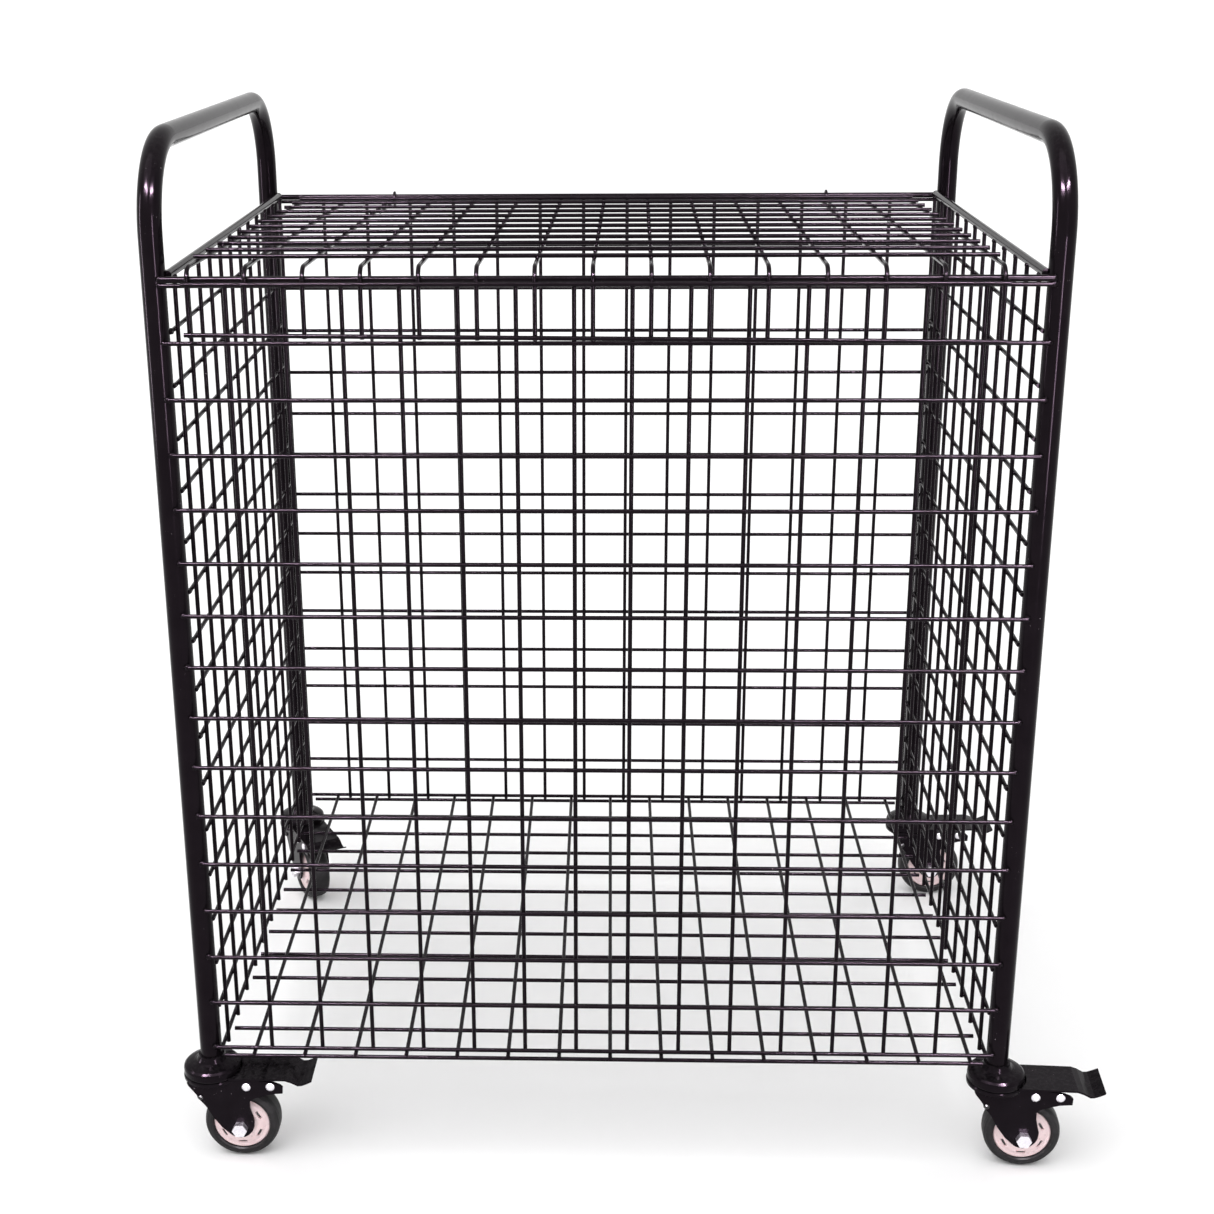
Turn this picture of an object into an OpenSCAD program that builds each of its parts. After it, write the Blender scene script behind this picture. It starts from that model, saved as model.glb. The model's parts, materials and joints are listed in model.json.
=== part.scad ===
// Roll cage container: a wire mesh cage with a hinged mesh lid on four braked swivel casters.
// Millimetres. Origin on the floor under the middle of the cage, X across, Y to the rear, Z up.

/* [Cage] */
// Outer diameter of the corner post and handle tube
tube_d = 21.3; // [20:0.1:22.5]
// Wall of the corner post and handle tube
tube_wall = 1.8; // [1.2:0.1:2.5]
// Pitch of the mesh wires
mesh_pitch = 50; // [49:0.1:50.5]
// Diameter of the mesh wires
wire_d = 4; // [3.5:0.1:4.5]
// Height of the top wire of the front and rear mesh above the floor
mesh_top_z = 874; // [870:0.5:878]
// Height of the centre line of the bent handles above the floor
handle_z = 991.5; // [976:0.5:1010]
// Bend radius of the handle tube at its centre line
handle_bend_r = 78; // [60:1:90]
// Lid opening angle as drawn, in degrees
lid_open = 0; // [0:1:235]

/* [Casters] */
// Wheel diameter
wheel_d = 75; // [74:0.5:76]
// Tyre width
tyre_w = 26; // [24:0.5:27]
// Distance of the axle behind the swivel axis
trail = 28; // [27:0.5:28.5]
// Direction of the front left caster, in degrees
swivel_fl = 0; // [-180:1:180]
// Direction of the front right caster, in degrees
swivel_fr = -3; // [-180:1:180]
// Direction of the rear left caster, in degrees
swivel_rl = -62; // [-180:1:180]
// Direction of the rear right caster, in degrees
swivel_rr = 2; // [-180:1:180]

/* [Hidden] */

$fn = 24;
eps = 0.05;

// Cage plan. The mesh planes stand outside the post centre lines.
front_cols = 14;
front_rows = 16;
side_cols = 12;
post_x = 387.5;
mesh_y = 297.8;
post_y = 287.8;
post_bottom_z = 112;
tube_r = tube_d / 2;
wire_r = wire_d / 2;
wire_step = wire_d - 0.4;
mesh_bottom_z = mesh_top_z - (front_rows - 1) * mesh_pitch;

// Rails along the top of the four sides.
cross_rail_d = 6;
cross_rail_z = mesh_top_z + 5.2;
cross_rail_half = post_x - 8.2;
cross_wire_half = post_x - 7.2;
side_rail_d = 8;
side_rail_x = 375.6;
side_rail_z = mesh_top_z + 7.5;

// Side mesh and floor mesh.
side_upright_x = 373;
side_wire_x = side_upright_x + wire_step;
side_pitch_z = 47.67;
side_top_z = mesh_top_z - 42;
side_wire_half = 287;
floor_cross_z = 116.35;
floor_long_z = floor_cross_z + wire_step;
floor_offset_x = 8.4;

// Lid. Its mesh is racked a little sideways and rests a little low at the rear.
lid_pitch_x = 49.5;
lid_cols = 15;
lid_rows = 12;
lid_front_y = -253.2;
lid_rear_y = 290.2;
lid_front_z = mesh_top_z + 18.5;
lid_rear_z = mesh_top_z + 4;
lid_skirt_y = -305.8;
lid_bend_r = 13;
lid_rear_shift = -1.3;
lid_rack = atan(7.5 / 590);
lid_tilt = atan((lid_front_z - lid_rear_z) / (lid_rear_y - lid_front_y));
lid_wire_half = 350.5;
skirt_upper_z = mesh_top_z + 2.7;
skirt_lower_z = mesh_top_z - 43.7;
skirt_tilt = 0.54;

// Lid hinge: two wire hooks turn round the rear rail and the wire under it.
hinge_y = 297.7;
hinge_z = mesh_top_z + 3.1;
hook_d = 3;
hook_ring_r = 6.95;
hook_front_y = 167;
hook_rear_y = hinge_y - 6.6;
hook_beside = 6;

// Caster, drawn about its swivel axis with the wheel towards +X.
wheel_r = wheel_d / 2;
tyre_inner_r = 28;
hub_r = tyre_inner_r - 0.05;
hub_w = 29;
axle_r = 4;
fork_in = 16.6;
fork_t = 2.5;
fork_out = fork_in + fork_t;
rivet_head_r = 4.3;
pedal_pin = [36.5, 84.6];
stop_pin = [60.3, 85.2];
spring_pin = [-9.6, 72.2];
balls = 12;
ball_r = 2.6;
ball_ring_r = 19.5;
ball_z = 95.6;
bolt_af = 13;

corners = [
    ["fl", -post_x, -post_y, swivel_fl],
    ["fr", post_x, -post_y, swivel_fr],
    ["rl", -post_x, post_y, swivel_rl],
    ["rr", post_x, post_y, swivel_rr]
];

// Straight round bars along each axis.
module bar_x(x0, x1, y, z, r) {
    translate([x0, y, z]) rotate([0, 90, 0]) cylinder(h = x1 - x0, r = r);
}
module bar_y(x, y0, y1, z, r) {
    translate([x, y1, z]) rotate([90, 0, 0]) cylinder(h = y1 - y0, r = r);
}
module bar_z(x, y, z0, z1, r) {
    translate([x, y, z0]) cylinder(h = z1 - z0, r = r);
}

// One bent tube: front post, handle and rear post.
module bend(y, dir, r) {
    translate([0, y - dir * handle_bend_r, handle_z - handle_bend_r])
        rotate([0, 0, dir > 0 ? 0 : 180])
            rotate([90, 0, 90])
                rotate_extrude(angle = 90) translate([handle_bend_r, 0]) circle(r = r);
}
module hoop_solid(r, extra) {
    for (dir = [-1, 1]) {
        bar_z(0, dir * post_y, post_bottom_z - extra, handle_z - handle_bend_r, r);
        bend(dir * post_y, dir, r);
    }
    bar_y(0, -(post_y - handle_bend_r), post_y - handle_bend_r, handle_z, r);
}
module hoop(x) {
    translate([x, 0, 0]) difference() {
        hoop_solid(tube_r, 0);
        hoop_solid(tube_r - tube_wall, 1);
    }
}
module left_hoop() { color("#1b191b") hoop(-post_x); }
module right_hoop() { color("#1b191b") hoop(post_x); }

// Cuts the end of a bar to the flank of the four posts.
module coped() {
    difference() {
        children();
        for (sx = [-1, 1], sy = [-1, 1])
            bar_z(sx * post_x, sy * post_y, post_bottom_z - 10, mesh_top_z + 30, tube_r + eps);
    }
}

// Rails.
module cross_rail(y) {
    bar_x(-cross_rail_half, cross_rail_half, y, cross_rail_z, cross_rail_d / 2);
}
module side_rail(x) {
    coped() bar_y(x, -side_wire_half, side_wire_half, side_rail_z, side_rail_d / 2);
}
module front_rail() { color("#201d20") cross_rail(-mesh_y); }
module rear_rail() { color("#201d20") cross_rail(mesh_y); }
module left_rail() { color("#201d20") side_rail(-side_rail_x); }
module right_rail() { color("#201d20") side_rail(side_rail_x); }

// Front and rear mesh: cross wires outside, upright wires inside.
module upright_panel(dir) {
    span = (front_cols - 1) * mesh_pitch;
    for (j = [0:front_rows - 1])
        bar_x(-cross_wire_half, cross_wire_half, dir * mesh_y, mesh_top_z - j * mesh_pitch, wire_r);
    for (i = [0:front_cols - 1])
        bar_z(-span / 2 + i * mesh_pitch, dir * (mesh_y - wire_step),
              mesh_bottom_z - wire_r, mesh_top_z + wire_r, wire_r);
}
module front_mesh() { color("#242024") upright_panel(-1); }
module rear_mesh() { color("#242024") upright_panel(1); }

// Side mesh: long wires outside, butted to the posts, and upright wires inside, their tops cut
// to the underside of the rail.
module side_panel(dir) {
    coped() for (j = [0:front_rows - 1])
        bar_y(dir * side_wire_x, -side_wire_half, side_wire_half, side_top_z - j * side_pitch_z, wire_r);
    for (k = [0:side_cols - 1])
        difference() {
            bar_z(dir * side_upright_x, -272 + k * mesh_pitch, 115, side_rail_z - 2, wire_r);
            bar_y(dir * side_rail_x, -300, 300, side_rail_z, side_rail_d / 2 + eps);
        }
}
module left_mesh() { color("#242024") side_panel(-1); }
module right_mesh() { color("#242024") side_panel(1); }

// Floor mesh: cross wires below, long wires on top.
module floor_mesh() {
    color("#242024") {
        for (k = [0:12])
            bar_x(-370.9, 370.9, -300 + k * mesh_pitch, floor_cross_z, wire_r);
        for (i = [0:14])
            bar_y(floor_offset_x - 350 + i * mesh_pitch, -301.5, 301.5, floor_long_z, wire_r);
    }
}

// Plastic plugs in the open bottom ends of the posts; the caster stems pass through them.
module post_plugs() {
    color("#111111")
        for (c = corners)
            translate([c[1], c[2], post_bottom_z + 1]) difference() {
                cylinder(h = 14, r = tube_r - tube_wall - eps);
                translate([0, 0, -1]) cylinder(h = 16, r = 5.55);
            }
}

// Lid.
function lid_y(k) = lid_front_y + k * (lid_rear_y - lid_front_y) / (lid_rows - 1);
function lid_z(y) = lid_rear_z + (lid_rear_y - y) * tan(lid_tilt);
function lid_x(y) = lid_rear_shift - (lid_rear_y - y) * tan(lid_rack);
function skirt_z(x) = skirt_lower_z - x * tan(skirt_tilt);

module at_hinge(angle) {
    translate([0, hinge_y, hinge_z]) rotate([-angle, 0, 0]) translate([0, -hinge_y, -hinge_z]) children();
}

// Long wire of the lid, bent down at the front into the skirt.
module lid_long_wire(offset_x) {
    y0 = lid_skirt_y + lid_bend_r;
    top = lid_z(y0) - wire_step;
    x0 = offset_x + lid_x(y0);
    run = (lid_rear_y + 1.8 - y0) / (cos(lid_rack) * cos(lid_tilt));
    translate([x0, y0, top]) rotate([-lid_tilt, 0, -lid_rack]) rotate([-90, 0, 0])
        cylinder(h = run, r = wire_r);
    translate([x0, y0, top]) sphere(r = wire_r);
    translate([x0, y0, top - lid_bend_r]) rotate([90, 0, -90]) rotate_extrude(angle = 90)
        translate([lid_bend_r, 0]) circle(r = wire_r);
    bar_z(x0, lid_skirt_y, skirt_z(x0) - wire_r - 1, top - lid_bend_r, wire_r);
}
module lid_mesh() {
    half = (lid_cols - 1) * lid_pitch_x / 2;
    color("#2a2629") at_hinge(lid_open) {
        for (i = [0:lid_cols - 1])
            lid_long_wire(-half + i * lid_pitch_x);
        for (k = [0:lid_rows - 1]) {
            y = lid_y(k);
            bar_x(lid_x(y) - lid_wire_half, lid_x(y) + lid_wire_half, y, lid_z(y), wire_r);
        }
        skirt_wire(skirt_upper_z, 0);
        skirt_wire(skirt_lower_z, skirt_tilt);
    }
}
module skirt_wire(z, tilt) {
    x = lid_x(lid_skirt_y);
    translate([x, lid_skirt_y - wire_step, z - x * tan(tilt)]) rotate([0, 90 + tilt, 0])
        cylinder(h = 2 * lid_wire_half, r = wire_r, center = true);
}

// Hook of the lid: a ring round the rear rail, open where it meets the last lid wire, and a leg
// under the lid wires.
module hinge_hook(col) {
    half = (lid_cols - 1) * lid_pitch_x / 2;
    r = hook_d / 2;
    offset_x = -half + col * lid_pitch_x + hook_beside;
    drop = wire_r + r + 0.02;
    leg = (hook_rear_y - hook_front_y) / (cos(lid_rack) * cos(lid_tilt));
    color("#2a2629") at_hinge(lid_open) {
        difference() {
            translate([offset_x + lid_x(hook_rear_y), hinge_y, hinge_z]) rotate([0, 90, 0])
                rotate_extrude() translate([hook_ring_r, 0]) circle(r = r);
            bar_x(-400, 400, lid_rear_y, lid_rear_z, wire_r + 0.02);
        }
        translate([offset_x + lid_x(hook_front_y), hook_front_y, lid_z(hook_front_y) - drop])
            rotate([-lid_tilt, 0, -lid_rack]) rotate([-90, 0, 0]) cylinder(h = leg, r = r);
    }
}
module left_hinge_hook() { hinge_hook(2); }
module right_hinge_hook() { hinge_hook(12); }

// Places a caster piece under its post.
module at_corner(c) {
    translate([c[1], c[2], 0]) rotate([0, 0, c[3]]) children();
}

// Turned part about Z from a closed outline of [radius, height] points.
module turned(outline) {
    rotate_extrude($fn = 48) polygon(outline);
}

// Fixed stem, pressed into the post, with the domed top race of the swivel bearing.
module stem() {
    color("#b9b9bd") turned([
        [0, 82], [9, 82], [9, 85.4], [5, 86.2], [5, 96], [11.6, 98.9], [15.7, 98.9],
        [20.5, 98.5], [24.4, 97.6], [26.6, 93.3], [27.6, 93.3], [27.9, 94.2], [27.9, 99],
        [27.2, 101.2], [25.4, 102.8], [21.5, 104.2], [17.5, 105.2], [15.2, 106.4], [13.9, 108.6],
        [12.9, 110.6], [12.6, 111.9], [5.5, 111.9], [5.5, 156], [4.5, 158], [0, 158]
    ]);
}

// Balls of the swivel bearing.
module ball_ring() {
    color("#c8c8cc")
        for (i = [0:balls - 1])
            rotate([0, 0, i * 360 / balls]) translate([ball_ring_r, 0, ball_z]) sphere(r = ball_r);
}

// Fork leg outline in the X-Z plane.
module leg_outline() {
    polygon([
        [-18.6, 91], [-21.3, 90.1], [-22.5, 88.4], [-21.2, 85.2], [-17.6, 80.4], [-13.4, 74.6],
        [-12.6, 71], [-9.4, 67.6], [-5, 62], [2, 49],
        [10, 37.5], [16, 31.7], [19.5, 28.6], [23.4, 26.8], [28, 26], [32.5, 26.9], [36.5, 29.6],
        [40, 33.6], [42, 38.3], [42.5, 45], [40.2, 54], [38.9, 60], [38.9, 67.5], [41, 70],
        [44, 71.4], [52, 74], [60, 76.4], [72.2, 77.6], [72.6, 84.5], [70, 87], [64, 89.4],
        [38, 92.6], [24, 92.6], [20, 90]
    ]);
}
module leg_plate(y0) {
    difference() {
        translate([0, y0 + fork_t, 0]) rotate([90, 0, 0]) linear_extrude(fork_t) leg_outline();
        for (pin = [pedal_pin, stop_pin])
            translate([pin[0], 0, pin[1]]) rotate([90, 0, 0]) cylinder(h = 60, r = 3.05, center = true);
        translate([spring_pin[0], 0, spring_pin[1]]) rotate([90, 0, 0])
            cylinder(h = 60, r = 1.55, center = true);
        translate([trail, 0, wheel_r]) rotate([90, 0, 0]) cylinder(h = 60, r = axle_r + eps, center = true);
    }
}

// Pressed steel fork: two legs, the bridge under the bearing and the lower race.
module fork() {
    color("#1e1b1e") {
        for (y0 = [fork_in, -fork_out])
            leg_plate(y0);
        difference() {
            union() {
                translate([0, 0, 86.6]) cylinder(h = 3.4, r = 25, $fn = 48);
                translate([-19, -fork_in, 86.6]) cube([40, 2 * fork_in, 3.4]);
            }
            translate([0, 0, 70]) cylinder(h = 30, r = 5.6, $fn = 48);
        }
        turned([
            [16, 89.9], [24.8, 89.9], [24.8, 87.4], [27.2, 87.4], [28.2, 88.4], [28.4, 91],
            [27.8, 92.2], [25.7, 92.6], [25, 94], [23.6, 94.2], [22.6, 93.3], [19.5, 92.95],
            [16, 93.3]
        ]);
    }
}

// Rivets through the fork legs: the pivot pin of the pedal, the stop pin and a thin spring pin.
module rivet_pin(pin, r, head_r) {
    translate([pin[0], 0, pin[1]]) rotate([90, 0, 0]) cylinder(h = 2 * fork_out + 0.6, r = r, center = true);
    for (side = [-1, 1])
        translate([pin[0], side * (fork_out + 0.05), pin[1]]) rotate([-90 * side, 0, 0])
            rotate_extrude() polygon([[0, 0], [head_r, 0], [head_r, 0.9], [r, 2], [0, 2.3]]);
}
module rivets() {
    color("#c9c7c9") {
        rivet_pin(pedal_pin, 3, rivet_head_r);
        rivet_pin(stop_pin, 3, rivet_head_r);
        rivet_pin(spring_pin, 1.5, 2.6);
    }
}

// Axle bolt with a hexagon head, and its nut.
module axle() {
    color("#cfcfd3") translate([trail, 0, wheel_r]) {
        rotate([90, 0, 0]) cylinder(h = 2 * fork_out + 9, r = axle_r, center = true);
        translate([0, -fork_out - eps, 0]) rotate([90, 0, 0])
            cylinder(h = 6.5, r = bolt_af / sqrt(3), $fn = 6);
    }
}
module nut() {
    color("#cfcfd3") translate([trail, fork_out + eps, wheel_r]) rotate([-90, 0, 0]) difference() {
        cylinder(h = 4, r = bolt_af / sqrt(3), $fn = 6);
        translate([0, 0, -1]) cylinder(h = 8, r = axle_r + eps);
    }
}

// Brake pedal: a tread with two cheeks turning on the pedal pin, a brake block between them
// and a toe plate that dips and rises again at its end.
module pedal_cheek() {
    polygon([[30.5, 79.5], [43, 79.5], [46, 90], [66, 90], [76, 93], [30.5, 94]]);
}
module pedal_tread() {
    polygon([
        [19, 93.4], [75.5, 93.4], [81.5, 91.4], [88, 88], [92, 88.3], [97, 90.3], [102, 92.8],
        [102.5, 94.5], [97, 92], [92, 90], [88, 89.8], [82, 93.2], [76, 95.2], [19, 95.2]
    ]);
}
module pedal_solid() {
    for (y0 = [fork_in - 0.3, -fork_in + 2.3])
        translate([0, y0, 0]) rotate([90, 0, 0]) linear_extrude(2) pedal_cheek();
    translate([44, -14.4, 73.5]) cube([5, 28.8, 20.3]);
    translate([0, 22, 0]) rotate([90, 0, 0]) linear_extrude(44) pedal_tread();
}
module pedal() {
    color("#151315") difference() {
        pedal_solid();
        cylinder(h = 150, r = 29.4, $fn = 48);
        translate([pedal_pin[0], 0, pedal_pin[1]]) rotate([90, 0, 0])
            cylinder(h = 60, r = 3.05, center = true);
        for (dz = [-1, 3])
            translate([stop_pin[0], 0, stop_pin[1] + dz]) rotate([90, 0, 0])
                cylinder(h = 60, r = 3.6, center = true);
        translate([stop_pin[0], 0, stop_pin[1] + 1]) cube([7.2, 60, 4], center = true);
    }
}

// Tyre with rounded shoulders, and the hub it is moulded on.
module tyre() {
    h = tyre_w / 2;
    color("#141314") translate([trail, 0, wheel_r]) rotate([90, 0, 0]) turned([
        [tyre_inner_r, -h + 1.5], [tyre_inner_r + 1, -h], [wheel_r - 6, -h], [wheel_r - 2.6, -h + 1.4],
        [wheel_r - 0.7, -h + 4.4], [wheel_r, -h + 8], [wheel_r, h - 8], [wheel_r - 0.7, h - 4.4],
        [wheel_r - 2.6, h - 1.4], [wheel_r - 6, h], [tyre_inner_r + 1, h], [tyre_inner_r, h - 1.5]
    ]);
}
module hub() {
    w = hub_w / 2;
    r0 = axle_r + 0.05;
    color("#eed8d8") translate([trail, 0, wheel_r]) rotate([90, 0, 0]) difference() {
        turned([
            [r0, -16.2], [9, -16.2], [10, -w], [17, -w + 0.6], [hub_r - 4, -10.5], [hub_r - 1, -10.5],
            [hub_r, -9.5], [hub_r, 9.5], [hub_r - 1, 10.5], [hub_r - 4, 10.5], [17, w - 0.6],
            [10, w], [9, 16.2], [r0, 16.2]
        ]);
        for (i = [0:5], side = [-1, 1])
            rotate([0, 0, i * 60 + 30]) translate([20, 0, side * 13]) cube([2.6, 9, 6], center = true);
    }
}

left_hoop();
right_hoop();
front_rail();
rear_rail();
left_rail();
right_rail();
front_mesh();
rear_mesh();
left_mesh();
right_mesh();
floor_mesh();
post_plugs();
lid_mesh();
left_hinge_hook();
right_hinge_hook();
at_corner(corners[0]) stem();  // fl_stem
at_corner(corners[1]) stem();  // fr_stem
at_corner(corners[2]) stem();  // rl_stem
at_corner(corners[3]) stem();  // rr_stem
at_corner(corners[0]) ball_ring();  // fl_balls
at_corner(corners[1]) ball_ring();  // fr_balls
at_corner(corners[2]) ball_ring();  // rl_balls
at_corner(corners[3]) ball_ring();  // rr_balls
at_corner(corners[0]) fork();  // fl_fork
at_corner(corners[1]) fork();  // fr_fork
at_corner(corners[2]) fork();  // rl_fork
at_corner(corners[3]) fork();  // rr_fork
at_corner(corners[0]) rivets();  // fl_rivet
at_corner(corners[1]) rivets();  // fr_rivet
at_corner(corners[2]) rivets();  // rl_rivet
at_corner(corners[3]) rivets();  // rr_rivet
at_corner(corners[0]) axle();  // fl_axle
at_corner(corners[1]) axle();  // fr_axle
at_corner(corners[2]) axle();  // rl_axle
at_corner(corners[3]) axle();  // rr_axle
at_corner(corners[0]) nut();  // fl_nut
at_corner(corners[1]) nut();  // fr_nut
at_corner(corners[2]) nut();  // rl_nut
at_corner(corners[3]) nut();  // rr_nut
at_corner(corners[0]) pedal();  // fl_pedal
at_corner(corners[1]) pedal();  // fr_pedal
at_corner(corners[2]) pedal();  // rl_pedal
at_corner(corners[3]) pedal();  // rr_pedal
at_corner(corners[0]) tyre();  // fl_tyre
at_corner(corners[1]) tyre();  // fr_tyre
at_corner(corners[2]) tyre();  // rl_tyre
at_corner(corners[3]) tyre();  // rr_tyre
at_corner(corners[0]) hub();  // fl_hub
at_corner(corners[1]) hub();  // fr_hub
at_corner(corners[2]) hub();  // rl_hub
at_corner(corners[3]) hub();  // rr_hub
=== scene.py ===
"""Roll cage container: materials, weld beads, caster details, floor, lights and camera."""

import json
import math
import random

import bmesh
import bpy
from mathutils import Matrix, Vector


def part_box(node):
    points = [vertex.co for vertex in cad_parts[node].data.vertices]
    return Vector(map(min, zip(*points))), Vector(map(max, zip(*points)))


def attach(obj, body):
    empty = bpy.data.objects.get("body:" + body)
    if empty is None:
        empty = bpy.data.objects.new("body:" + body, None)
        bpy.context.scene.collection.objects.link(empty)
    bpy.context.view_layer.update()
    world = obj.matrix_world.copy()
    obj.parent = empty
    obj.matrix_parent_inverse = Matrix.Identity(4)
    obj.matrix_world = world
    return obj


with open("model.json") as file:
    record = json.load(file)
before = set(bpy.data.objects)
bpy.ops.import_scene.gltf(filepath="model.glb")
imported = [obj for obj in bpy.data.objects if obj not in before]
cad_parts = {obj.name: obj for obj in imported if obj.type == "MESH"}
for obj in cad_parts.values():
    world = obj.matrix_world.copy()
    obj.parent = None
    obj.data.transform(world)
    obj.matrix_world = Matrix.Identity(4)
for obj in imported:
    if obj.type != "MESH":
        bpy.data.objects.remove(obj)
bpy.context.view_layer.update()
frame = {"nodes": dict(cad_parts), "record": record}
NODES = frame["nodes"]
MM = 0.001

# Camera: a pinhole at the photograph's place, with a small sideways shift of its frame.
CAMERA_AT = Vector((0.0058, -1.8997, 1.1347))
CAMERA_LOOKS = Vector((-0.03288, 0.94498, -0.32547))
CAMERA_ROLL = math.radians(-0.448)
CAMERA_LENS = 55.754
CAMERA_SENSOR = 36
CAMERA_SHIFT = (0.0493, 0.0012)

# Sizes shared with the CAD model, in metres.
PITCH = 50 * MM
WIRE_R = 2 * MM
WIRE_STEP = 3.6 * MM
POST_X = 387.5 * MM
MESH_LEFT_X = -325 * MM
MESH_Y = 297.8 * MM
MESH_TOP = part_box("front_mesh")[1].z - WIRE_R
MESH_COLS = 14
MESH_ROWS = 16
SIDE_UPRIGHT_X = 373 * MM
SIDE_FRONT_Y = -272 * MM
SIDE_PITCH = 47.67 * MM
SIDE_TOP = MESH_TOP - 42 * MM
SIDE_COLS = 12
FLOOR_LEFT_X = -341.6 * MM
FLOOR_FRONT_Y = -300 * MM
FLOOR_COLS = 15
FLOOR_ROWS = 13
LID_COLS = 15
LID_ROWS = 12
LID_PITCH_X = 49.5 * MM
LID_FRONT_Y = -253.2 * MM
LID_REAR_Y = 290.2 * MM
LID_FRONT_Z = MESH_TOP + 18.5 * MM
LID_REAR_Z = MESH_TOP + 4 * MM
LID_REAR_SHIFT = -1.3 * MM
LID_RACKING = 7.5 / 590
SKIRT_Y = -305.8 * MM
SKIRT_UPPER = MESH_TOP + 2.7 * MM
SKIRT_LOWER = MESH_TOP - 43.7 * MM
SKIRT_TILT = math.radians(0.54)
CASTER_TURNS = {"fl": 0, "fr": -3, "rl": -62, "rr": 2}

# Resistance weld lumps: LUMP along the wires, SQUASH through the panel.
LUMP = 2.25 * MM
SQUASH = 1.35 * MM

# Beads against the corner posts, as (x, y) for one post and mirrored to the others.
WIRE_END = (POST_X - 6.8 * MM, 297.2 * MM)
RAIL_END = (POST_X - 7.6 * MM, 297.0 * MM)
RAIL_END_Z = MESH_TOP + 5.2 * MM
RAIL_END_RADII = (3.4 * MM, 3.6 * MM, 3.6 * MM)
SIDE_WIRE_END = (376.8 * MM, 282.2 * MM)
SIDE_RAIL_END = (376.0 * MM, 281.8 * MM)
SIDE_RAIL_END_Z = MESH_TOP + 7.5 * MM
SIDE_RAIL_END_RADII = (4.2 * MM, 4.4 * MM, 4.4 * MM)

# Beads under each side rail.
SIDE_RAIL_X = 372.9 * MM
SIDE_RAIL_Z = MESH_TOP + 4.6 * MM

# Slots of the wheel hubs, and the dark beads of painted shade put in them.
SLOTS = 6
SLOT_STEP = 60
SLOT_START = 30
SLOT_RADIUS = 20 * MM
SLOT_DEPTH = 10.9 * MM
SLOT_RADII = (1.2 * MM, 0.7 * MM, 4.1 * MM)

# The spring pin is the part of each rivet node below this band of height.
PIN_TOP = (76.5 * MM, 77.5 * MM)

# Reflectivity of the paint. It is far below ordinary gloss paint (0.5), chosen so that
# the steel stays dark in a white room.
PAINT_REFLECTS = 0.065
RUBBER_REFLECTS = 0.18
FLOOR_REFLECTS = 0.15

SUN_AT = (-1.2, -1.6, 4.0)
SUN_STRENGTH = 1.15
SUN_ANGLE = math.radians(55)
STRIP_COLOUR = (1.0, 0.93, 1.0)
# Name, place, what it faces, size and power.
GLOSS_STRIPS = (
    ("left_strip", (-2.3, -0.45, 0.95), (0, -0.2, 0.6), (0.16, 1.4), 26),
    ("front_strip", (0.75, -1.75, 0.85), (0, -0.1, 0.5), (0.10, 1.2), 34),
    ("high_left_strip", (-1.1, -1.9, 2.9), (-0.3, 0, 0.6), (1.3, 0.16), 520),
    ("high_right_strip", (1.1, -1.9, 2.9), (0.3, 0, 0.6), (1.3, 0.16), 520),
)
FLOOR_SIZE = 400


# ---------------------------------------------------------------- node helpers
class Tree:
    """A material's node tree with short ways to add the nodes used here."""

    def __init__(self, name):
        self.material = bpy.data.materials.new(name)
        self.material.use_nodes = True
        self.nodes = self.material.node_tree.nodes
        self.links = self.material.node_tree.links
        self.shader = self.nodes["Principled BSDF"]
        self.coords = self.nodes.new("ShaderNodeTexCoord").outputs["Object"]

    def noise(self, scale, detail, rough):
        node = self.nodes.new("ShaderNodeTexNoise")
        node.inputs["Scale"].default_value = scale
        node.inputs["Detail"].default_value = detail
        node.inputs["Roughness"].default_value = rough
        self.links.new(self.coords, node.inputs["Vector"])
        return node.outputs["Fac"]

    def spread(self, source, low, high, out_low=0.0, out_high=1.0):
        """Maps the source from low..high to out_low..out_high, held at the ends."""
        node = self.nodes.new("ShaderNodeMapRange")
        node.inputs["From Min"].default_value = low
        node.inputs["From Max"].default_value = high
        node.inputs["To Min"].default_value = out_low
        node.inputs["To Max"].default_value = out_high
        self.links.new(source, node.inputs["Value"])
        return node.outputs["Result"]

    def product(self, a, b):
        node = self.nodes.new("ShaderNodeMath")
        node.operation = "MULTIPLY"
        for socket, value in zip(node.inputs, (a, b)):
            if isinstance(value, (int, float)):
                socket.default_value = value
            else:
                self.links.new(value, socket)
        return node.outputs["Value"]

    def mix(self, factor, a, b):
        node = self.nodes.new("ShaderNodeMix")
        node.data_type = "RGBA"
        self.links.new(factor, node.inputs["Factor"])
        for socket, value in ((node.inputs[6], a), (node.inputs[7], b)):
            if isinstance(value, tuple):
                socket.default_value = (*value, 1.0)
            else:
                self.links.new(value, socket)
        return node.outputs[2]

    def two_tone(self, source, low, high, a, b):
        """Colour a where the source is low, turning into colour b where it is high."""
        return self.mix(self.spread(source, low, high), a, b)

    def bump(self, height, distance, below=None):
        node = self.nodes.new("ShaderNodeBump")
        node.inputs["Distance"].default_value = distance
        node.inputs["Strength"].default_value = 1.0
        self.links.new(height, node.inputs["Height"])
        if below is not None:
            self.links.new(below, node.inputs["Normal"])
        return node.outputs["Normal"]

    def upright_part(self, source):
        """The Z part of a vector."""
        node = self.nodes.new("ShaderNodeSeparateXYZ")
        self.links.new(source, node.inputs["Vector"])
        return node.outputs["Z"]

    def facing_up(self):
        return self.upright_part(self.nodes.new("ShaderNodeNewGeometry").outputs["Normal"])

    def height(self):
        return self.upright_part(self.coords)

    def wire(self, source, socket):
        self.links.new(source, self.shader.inputs[socket])

    def reflects(self, level):
        self.shader.inputs["Specular IOR Level"].default_value = level


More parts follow.
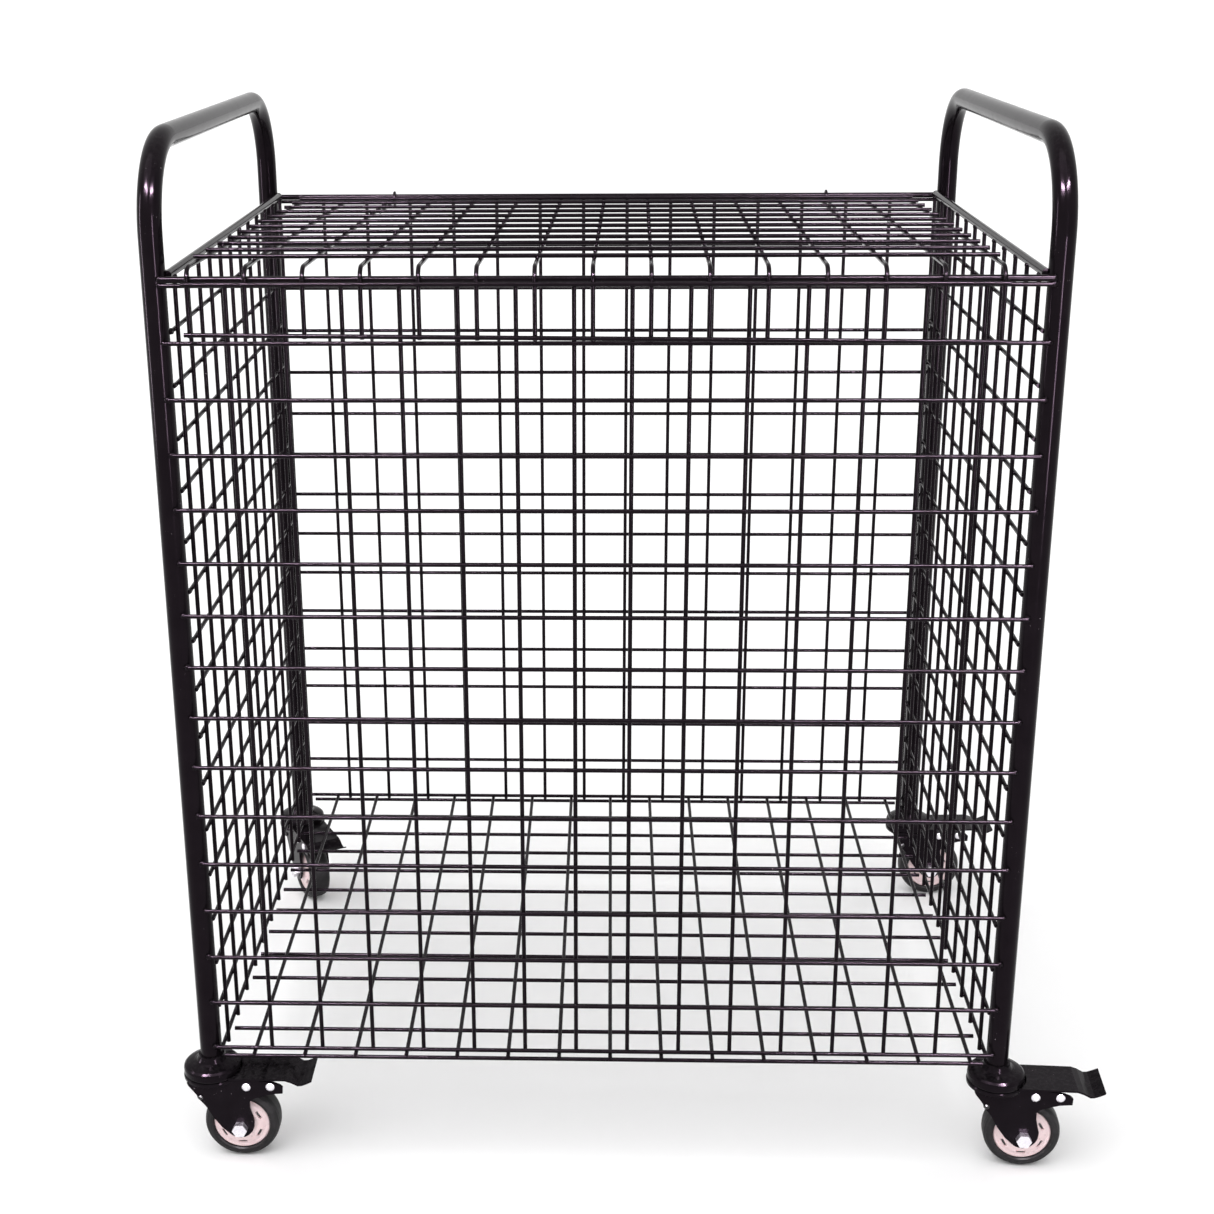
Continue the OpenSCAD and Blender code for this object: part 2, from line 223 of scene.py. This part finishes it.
# ---------------------------------------------------------------- materials
def paint(name, colour, rough_low, rough_high, peel_mm):
    """Gloss powder coat: orange peel, uneven gloss, faint dust on what faces up, small pale nicks."""
    tree = Tree(name)
    mottle = tree.noise(34, 5, 0.6)
    fine = tree.noise(240, 4, 0.6)
    dust = tree.product(tree.spread(tree.facing_up(), 0.3, 1.0), tree.spread(fine, 0.45, 0.75))
    tone = tree.two_tone(mottle, 0.35, 0.7, colour, tuple(c * 1.7 for c in colour))
    dusty = tree.mix(tree.product(dust, 0.03), tone, (0.36, 0.33, 0.35))
    specks = tree.spread(tree.noise(520, 2, 0.5), 0.74, 0.78)
    nicks = tree.product(specks, tree.spread(mottle, 0.52, 0.6))
    tree.wire(tree.mix(nicks, dusty, (0.42, 0.36, 0.40)), "Base Color")
    tree.wire(tree.spread(tree.noise(60, 4, 0.6), 0.3, 0.72, rough_low, rough_high), "Roughness")
    peel = tree.bump(tree.noise(620, 2, 0.5), peel_mm * MM)
    tree.wire(tree.bump(tree.noise(95, 3, 0.5), peel_mm * 2.2 * MM, peel), "Normal")
    tree.reflects(PAINT_REFLECTS)
    tree.shader.inputs["Specular Tint"].default_value = (*MAUVE, 1.0)
    return tree.material


def plating(tree, rough_low, rough_high):
    """Roughness and fine marks of zinc plate; gives back its colour."""
    patches = tree.noise(420, 4, 0.6)
    tree.wire(tree.spread(patches, 0.3, 0.7, rough_low, rough_high), "Roughness")
    tree.wire(tree.bump(tree.noise(1800, 2, 0.5), 0.02 * MM), "Normal")
    return tree.two_tone(patches, 0.35, 0.7, (0.86, 0.84, 0.87), (0.62, 0.60, 0.64))


def zinc(name):
    """Bright zinc-plated steel with fine marks and dull patches."""
    tree = Tree(name)
    tree.wire(plating(tree, 0.22, 0.42), "Base Color")
    tree.shader.inputs["Metallic"].default_value = 1.0
    return tree.material


def rivet_steel(name):
    """Zinc as above, with the thin spring pin low in the fork painted over."""
    tree = Tree(name)
    bright = plating(tree, 0.2, 0.4)
    bare = tree.spread(tree.height(), *PIN_TOP)
    tree.wire(tree.mix(bare, (0.006, 0.0045, 0.006), bright), "Base Color")
    tree.wire(bare, "Metallic")
    return tree.material


def hub_plastic(name):
    """Cream-pink moulded plastic with flow marks and rubbed-in dirt."""
    tree = Tree(name)
    flow = tree.noise(70, 4, 0.6)
    dirt = tree.noise(330, 5, 0.65)
    base = tree.two_tone(flow, 0.35, 0.7, (0.84, 0.66, 0.67), (0.76, 0.59, 0.60))
    tree.wire(tree.mix(tree.spread(dirt, 0.56, 0.72, 0.0, 0.45), base, (0.30, 0.22, 0.22)), "Base Color")
    tree.wire(tree.spread(flow, 0.3, 0.7, 0.32, 0.48), "Roughness")
    tree.wire(tree.bump(tree.noise(900, 2, 0.5), 0.03 * MM), "Normal")
    tree.shader.inputs["Subsurface Weight"].default_value = 0.08
    tree.shader.inputs["Subsurface Radius"].default_value = (0.002, 0.001, 0.001)
    return tree.material


def rubber(name):
    """Black tyre rubber: scuffed dull tread, fine grain and a little floor dust."""
    tree = Tree(name)
    scuff = tree.noise(160, 6, 0.7)
    base = tree.two_tone(scuff, 0.4, 0.7, (0.006, 0.0055, 0.006), (0.013, 0.012, 0.013))
    dust = tree.spread(tree.noise(620, 3, 0.6), 0.64, 0.74, 0, 0.5)
    tree.wire(tree.mix(dust, base, (0.05, 0.046, 0.048)), "Base Color")
    tree.wire(tree.spread(scuff, 0.3, 0.7, 0.42, 0.62), "Roughness")
    tree.wire(tree.bump(tree.noise(1300, 3, 0.6), 0.06 * MM), "Normal")
    tree.reflects(RUBBER_REFLECTS)
    return tree.material


def dull_plastic(name):
    """Black plastic with a fine moulded grain."""
    tree = Tree(name)
    grain = tree.noise(900, 3, 0.6)
    base = tree.two_tone(grain, 0.3, 0.7, (0.012, 0.012, 0.012), (0.022, 0.021, 0.022))
    tree.wire(base, "Base Color")
    tree.wire(tree.spread(grain, 0.3, 0.7, 0.4, 0.55), "Roughness")
    tree.wire(tree.bump(grain, 0.05 * MM), "Normal")
    return tree.material


def floor_paint(name):
    """Plain pale studio floor with a barely visible unevenness."""
    tree = Tree(name)
    cloud = tree.noise(1.6, 3, 0.5)
    tree.wire(tree.two_tone(cloud, 0.3, 0.7, (0.92, 0.92, 0.92), (0.90, 0.90, 0.90)), "Base Color")
    tree.wire(tree.spread(cloud, 0.3, 0.7, 0.75, 0.9), "Roughness")
    tree.wire(tree.bump(tree.noise(220, 2, 0.5), 0.05 * MM), "Normal")
    tree.reflects(FLOOR_REFLECTS)
    return tree.material


MAUVE = (1.0, 0.74, 0.97)
MATERIALS = {
    "tube_paint": paint("tube_paint", (0.0040, 0.0030, 0.0038), 0.10, 0.19, 0.014),
    "rail_paint": paint("rail_paint", (0.0042, 0.0032, 0.0040), 0.11, 0.20, 0.014),
    "wire_paint": paint("wire_paint", (0.0048, 0.0036, 0.0045), 0.11, 0.20, 0.012),
    "fork_paint": paint("fork_paint", (0.0040, 0.0032, 0.0040), 0.11, 0.20, 0.018),
    "black_plastic": dull_plastic("black_plastic"),
    "zinc": zinc("zinc"),
    "rivet_steel": rivet_steel("rivet_steel"),
    "tyre_rubber": rubber("tyre_rubber"),
    "hub_plastic": hub_plastic("hub_plastic"),
}


def dress_cad_nodes():
    """Gives CAD nodes the material of their slot in the record; rivets get rivet_steel."""
    for part in frame["record"]["subparts"]:
        node = NODES[part["node"]]
        finish = "rivet_steel" if part["node"].endswith("_rivet") else part["material_slot"]
        for slot in node.material_slots:
            slot.material = MATERIALS[finish]


# ---------------------------------------------------------------- mesh helpers
def finish_piece(name, mesh, body, slot_name):
    """Turns a bmesh into a named piece that rides on a body with a slot's material."""
    data = bpy.data.meshes.new(name)
    bmesh.ops.recalc_face_normals(mesh, faces=mesh.faces)
    mesh.to_mesh(data)
    mesh.free()
    for polygon in data.polygons:
        polygon.use_smooth = True
    piece = bpy.data.objects.new(name, data)
    bpy.context.scene.collection.objects.link(piece)
    data.materials.append(MATERIALS[slot_name])
    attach(piece, body)


def add_bead(mesh, centre, radii, dice, rings=1, turn=None):
    """One uneven ellipsoid, such as a lump of weld metal."""
    made = bmesh.ops.create_icosphere(mesh, subdivisions=rings, radius=1.0)
    matrix = Matrix.Translation(centre)
    if turn is not None:
        matrix = matrix @ turn
    matrix = matrix @ Matrix.Diagonal((*radii, 1.0))
    for vertex in made["verts"]:
        vertex.co = matrix @ (vertex.co * dice.uniform(0.88, 1.12))


# ---------------------------------------------------------------- welds
def wire_rows(top, step, count):
    return [top - step * row for row in range(count)]


def lid_shift(y):
    """Sideways place of the racked lid at a depth."""
    return LID_REAR_SHIFT - (LID_REAR_Y - y) * LID_RACKING


def lid_height(y):
    """Height of the lid's cross wires at a depth."""
    return LID_REAR_Z + (LID_REAR_Y - y) * (LID_FRONT_Z - LID_REAR_Z) / (LID_REAR_Y - LID_FRONT_Y)


def panel_welds(name, dice, points, radii):
    mesh = bmesh.new()
    for point in points:
        add_bead(mesh, Vector(point), radii, dice)
    finish_piece(name, mesh, "cage", "wire_paint")


def mesh_welds():
    """Small lumps where the wires of each panel are resistance welded to each other."""
    dice = random.Random(7)
    columns = [MESH_LEFT_X + PITCH * i for i in range(MESH_COLS)]
    rows = wire_rows(MESH_TOP, PITCH, MESH_ROWS)
    for name, side in (("front_mesh_welds", -1), ("rear_mesh_welds", 1)):
        y = side * (MESH_Y - WIRE_STEP / 2)
        points = [(x, y, z) for x in columns for z in rows]
        panel_welds(name, dice, points, (LUMP, SQUASH, LUMP))
    side_rows = wire_rows(SIDE_TOP, SIDE_PITCH, MESH_ROWS)
    depths = [SIDE_FRONT_Y + PITCH * k for k in range(SIDE_COLS)]
    for name, side in (("left_mesh_welds", -1), ("right_mesh_welds", 1)):
        x = side * (SIDE_UPRIGHT_X + WIRE_STEP / 2)
        points = [(x, y, z) for y in depths for z in side_rows]
        panel_welds(name, dice, points, (SQUASH, LUMP, LUMP))
    floor_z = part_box("floor_mesh")[1].z - WIRE_R - WIRE_STEP / 2
    columns = [FLOOR_LEFT_X + PITCH * i for i in range(FLOOR_COLS)]
    depths = [FLOOR_FRONT_Y + PITCH * k for k in range(FLOOR_ROWS)]
    points = [(x, y, floor_z) for x in columns for y in depths]
    panel_welds("floor_mesh_welds", dice, points, (LUMP, LUMP, SQUASH))


def post_welds():
    """Fillet beads where rails and wires meet the corner posts."""
    dice = random.Random(11)
    mesh = bmesh.new()

    def post_bead(place, z, radii):
        add_bead(mesh, Vector((side_x * place[0], side_y * place[1], z)), radii, dice, 2)

    for side_x, side_y in ((-1, -1), (-1, 1), (1, -1), (1, 1)):
        for z in wire_rows(MESH_TOP, PITCH, MESH_ROWS):
            size = dice.uniform(2.0, 3.0) * MM
            post_bead(WIRE_END, z, (size * 1.1, size, size * 1.15))
        post_bead(RAIL_END, RAIL_END_Z, RAIL_END_RADII)
        for z in wire_rows(SIDE_TOP, SIDE_PITCH, MESH_ROWS):
            size = dice.uniform(1.9, 2.7) * MM
            post_bead(SIDE_WIRE_END, z, (size, size, size * 1.1))
        post_bead(SIDE_RAIL_END, SIDE_RAIL_END_Z, SIDE_RAIL_END_RADII)
    finish_piece("post_welds", mesh, "cage", "rail_paint")


def side_rail_welds():
    """Beads where the upright wires of each side end against the rail above them."""
    dice = random.Random(17)
    mesh = bmesh.new()
    for side in (-1, 1):
        for k in range(SIDE_COLS):
            centre = Vector((side * SIDE_RAIL_X, SIDE_FRONT_Y + PITCH * k, SIDE_RAIL_Z))
            size = dice.uniform(2.3, 2.8) * MM
            add_bead(mesh, centre, (size, size * 1.15, size * 0.9), dice, 2)
    finish_piece("side_rail_welds", mesh, "cage", "rail_paint")


def lid_welds():
    """Resistance weld lumps at the crossings of the lid and of its skirt."""
    dice = random.Random(23)
    mesh = bmesh.new()
    half = (LID_COLS - 1) * LID_PITCH_X / 2
    for column in range(LID_COLS):
        offset = column * LID_PITCH_X - half
        for row in range(LID_ROWS):
            y = LID_FRONT_Y + row * (LID_REAR_Y - LID_FRONT_Y) / (LID_ROWS - 1)
            point = Vector((offset + lid_shift(y), y, lid_height(y) - WIRE_STEP / 2))
            add_bead(mesh, point, (LUMP, LUMP, SQUASH), dice)
        x = offset + lid_shift(SKIRT_Y)
        for z in (SKIRT_UPPER, SKIRT_LOWER - x * math.tan(SKIRT_TILT)):
            add_bead(mesh, Vector((x, SKIRT_Y - WIRE_STEP / 2, z)), (LUMP, SQUASH, LUMP), dice)
    finish_piece("lid_welds", mesh, "lid", "wire_paint")


def painted_slot_shade():
    """Dark beads of painted shade in the hub slots. They stand for the shadow of slots deeper than those
    modelled.
    """
    dice = random.Random(29)
    for corner, degrees in CASTER_TURNS.items():
        low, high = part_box(corner + "_hub")
        caster = Matrix.Rotation(math.radians(degrees), 4, "Z")
        mesh = bmesh.new()
        for i in range(SLOTS):
            turn = caster @ Matrix.Rotation(math.radians(SLOT_STEP * i + SLOT_START), 4, "Y")
            for side in (-1, 1):
                centre = (low + high) / 2 + turn @ Vector((SLOT_RADIUS, side * SLOT_DEPTH, 0))
                add_bead(mesh, centre, SLOT_RADII, dice, 2, turn)
        finish_piece(corner + "_painted_slot_shade", mesh, corner + "_wheel", "black_plastic")


# ---------------------------------------------------------------- stage
def build_floor():
    bpy.ops.mesh.primitive_plane_add(size=FLOOR_SIZE)
    floor = bpy.context.object
    floor.name = "studio_floor"
    floor.data.materials.append(floor_paint("floor_paint"))


def add_object(name, data):
    thing = bpy.data.objects.new(name, data)
    bpy.context.scene.collection.objects.link(thing)
    return thing


def aim(thing, at, target, roll=0.0):
    thing.location = at
    turn = (Vector(target) - Vector(at)).to_track_quat("-Z", "Y")
    thing.rotation_euler = (turn.to_matrix().to_4x4() @ Matrix.Rotation(roll, 4, "Z")).to_euler()


def gloss_strip(name, at, target, size, power):
    """A narrow strip that only glints on glossy surfaces, drawing thin bright lines along the steel."""
    data = bpy.data.lights.new(name, "AREA")
    data.shape = "RECTANGLE"
    data.size, data.size_y = size
    data.energy = power
    data.color = STRIP_COLOUR
    strip = add_object(name, data)
    strip.visible_camera = False
    strip.visible_diffuse = False
    aim(strip, at, target)


def build_lights():
    """A white room and one broad lamp, with four strips for the glints."""
    sun = bpy.data.lights.new("soft_sun", "SUN")
    sun.energy = SUN_STRENGTH
    sun.angle = SUN_ANGLE
    aim(add_object("soft_sun", sun), SUN_AT, (0, 0, 0))
    for strip in GLOSS_STRIPS:
        gloss_strip(*strip)
    world = bpy.data.worlds.new("studio")
    world.use_nodes = True
    world.node_tree.nodes["Background"].inputs["Color"].default_value = (1.0, 1.0, 1.0, 1)
    world.node_tree.nodes["Background"].inputs["Strength"].default_value = 1.0
    bpy.context.scene.world = world


def build_camera():
    data = bpy.data.cameras.new("photo_camera")
    data.lens = CAMERA_LENS
    data.sensor_width = CAMERA_SENSOR
    data.shift_x, data.shift_y = CAMERA_SHIFT
    camera = add_object("photo_camera", data)
    aim(camera, CAMERA_AT, CAMERA_AT + CAMERA_LOOKS, CAMERA_ROLL)
    bpy.context.scene.camera = camera


def main():
    dress_cad_nodes()
    mesh_welds()
    post_welds()
    side_rail_welds()
    lid_welds()
    # Dark beads of painted shade in the hub slots.
    painted_slot_shade()
    build_floor()
    build_lights()
    build_camera()
    bpy.context.scene.view_settings.view_transform = "Standard"
    bpy.context.view_layer.update()


main()
